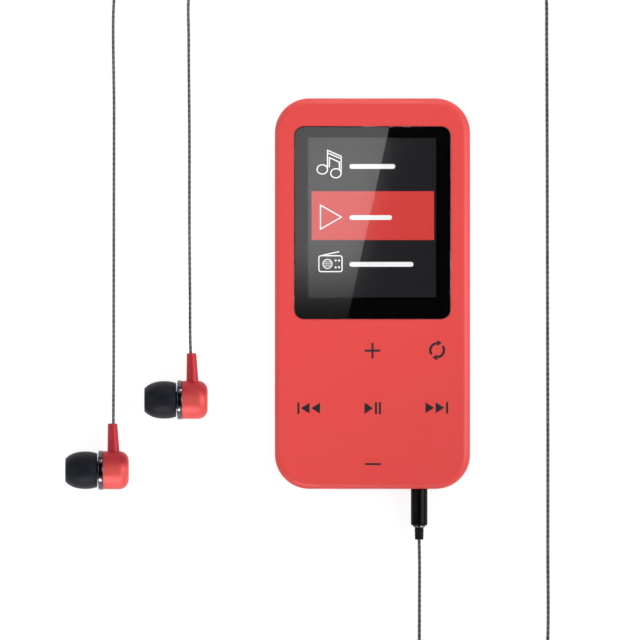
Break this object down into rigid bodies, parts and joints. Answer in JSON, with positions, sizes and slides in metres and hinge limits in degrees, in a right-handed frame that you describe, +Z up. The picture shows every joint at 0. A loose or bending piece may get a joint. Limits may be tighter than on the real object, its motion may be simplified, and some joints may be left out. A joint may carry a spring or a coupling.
{
  "type": "digital audio player",
  "caption": "Slim pocket audio player with colour screen, printed touch keys, side switch, ports, and plugged-in earphones with coiled spare cord.",
  "frame": {"origin": "centre of the flat back face of the player, on the surface it lies on, measured without the earphones", "axes": "+Z up, out through the screen; +Y along the length towards the screen end; +X to the right as the screen is read"},
  "size_m": [0.1067, 0.1825, 0.0087],
  "materials": {
    "coral_shell": "soft-touch coral red",
    "screen_window": "clear, polished",
    "black_print": "black tape and print behind the window",
    "display_panel": "dark display showing a menu",
    "white_plastic": "moulded white",
    "light_guide": "milky light guide",
    "flex_film": "amber film",
    "circuit_board": "green solder mask",
    "chip_resin": "moulded black resin",
    "chip_ceramic": "fired ceramic",
    "battery_foil": "laminated foil",
    "foam_tape": "foam",
    "wire_cover": "insulated wire",
    "black_plastic": "moulded black",
    "gold_contact": "gold plated",
    "sheet_steel": "plated sheet",
    "switch_plastic": "moulded dark grey",
    "plug_black": "glossy black",
    "relief_rubber": "satin black rubber",
    "cord_braid": "two-tone grey braid",
    "tie_band": "black band",
    "bud_metal": "satin metallic red",
    "bud_ring": "polished dark ring",
    "driver_metal": "stamped",
    "silicone": "satin black silicone"
  },
  "bodies": {
    "player": {"front_shell": "coral_shell", "rear_cover": "coral_shell", "screen_lens": "screen_window", "lens_tape": "black_print", "lcd_panel": "display_panel", "lcd_frame": "white_plastic", "backlight": "light_guide", "lcd_flex": "flex_film", "lcd_connector": "white_plastic", "touch_film": "flex_film", "touch_connector": "white_plastic", "main_board": "circuit_board", "processor_chip": "chip_resin", "memory_chip": "chip_resin", "radio_chip": "chip_resin", "crystal": "sheet_steel", "board_capacitors": "chip_ceramic", "battery": "battery_foil", "battery_tape": "foam_tape", "battery_leads": "wire_cover", "jack_socket": "black_plastic", "jack_springs": "gold_contact", "usb_socket": "sheet_steel", "usb_tongue": "black_plastic", "card_slot": "sheet_steel", "power_switch_body": "black_plastic", "board_screws": "sheet_steel"},
    "power_switch": {"power_switch_knob": "switch_plastic"},
    "earphones": {"plug_contacts": "gold_contact", "plug_insulators": "black_plastic", "plug_barrel": "plug_black", "plug_relief": "relief_rubber", "main_cord": "cord_braid", "main_coil": "cord_braid", "main_coil_tie": "tie_band", "cord_splitter": "plug_black", "left_cord": "cord_braid", "right_cord": "cord_braid", "branch_coil": "cord_braid", "branch_coil_tie": "tie_band", "left_housing": "bud_metal", "left_stem": "bud_metal", "left_ring": "bud_ring", "left_nozzle": "black_plastic", "left_mesh": "sheet_steel", "left_driver": "driver_metal", "right_housing": "bud_metal", "right_stem": "bud_metal", "right_ring": "bud_ring", "right_nozzle": "black_plastic", "right_mesh": "sheet_steel", "right_driver": "driver_metal"},
    "left_tip": {"left_ear_tip": "silicone"},
    "right_tip": {"right_ear_tip": "silicone"}
  },
  "joints": [
    {"name": "power_switch_slide", "type": "slide", "parent": "player", "child": "power_switch", "axis": [0, 1, 0], "range_m": [0, 0.002]},
    {"name": "plug_pull", "type": "slide", "parent": "player", "child": "earphones", "axis": [0, -1, 0], "range_m": [0, 0.0165]},
    {"name": "left_tip_pull", "type": "slide", "parent": "earphones", "child": "left_tip", "axis": [-1, 0, 0], "range_m": [0, 0.005]},
    {"name": "right_tip_pull", "type": "slide", "parent": "earphones", "child": "right_tip", "axis": [-1, 0, 0], "range_m": [0, 0.005]}
  ]
}
